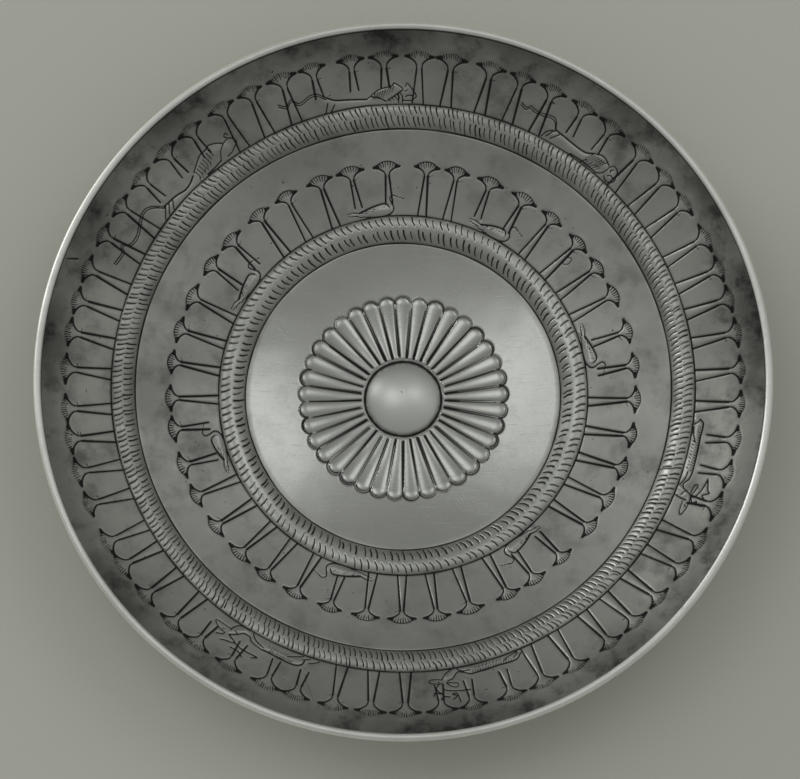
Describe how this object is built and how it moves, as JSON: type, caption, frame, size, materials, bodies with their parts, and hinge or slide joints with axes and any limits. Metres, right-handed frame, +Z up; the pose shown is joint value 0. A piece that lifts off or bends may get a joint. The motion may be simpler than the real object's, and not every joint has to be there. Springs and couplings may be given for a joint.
{
  "type": "embossed metal dish",
  "caption": "Shallow round silver libation bowl with a central boss, a ring of petals, two embossed ribs and a round wire rim.",
  "frame": {"origin": "middle of the flat ring under the bowl, in the plane that it stands on", "axes": "+Z up along the bowl's axis, +X to the picture's right, +Y towards the picture's top edge"},
  "size_m": [0.14, 0.14, 0.022],
  "materials": {
    "hammered_silver": "burnished sheet silver, chased lines dark with tarnish",
    "drawn_silver": "smooth silver wire, worn bright"
  },
  "bodies": {
    "root": {"dish_shell": "hammered_silver", "rim_wire": "drawn_silver"}
  },
  "joints": []
}
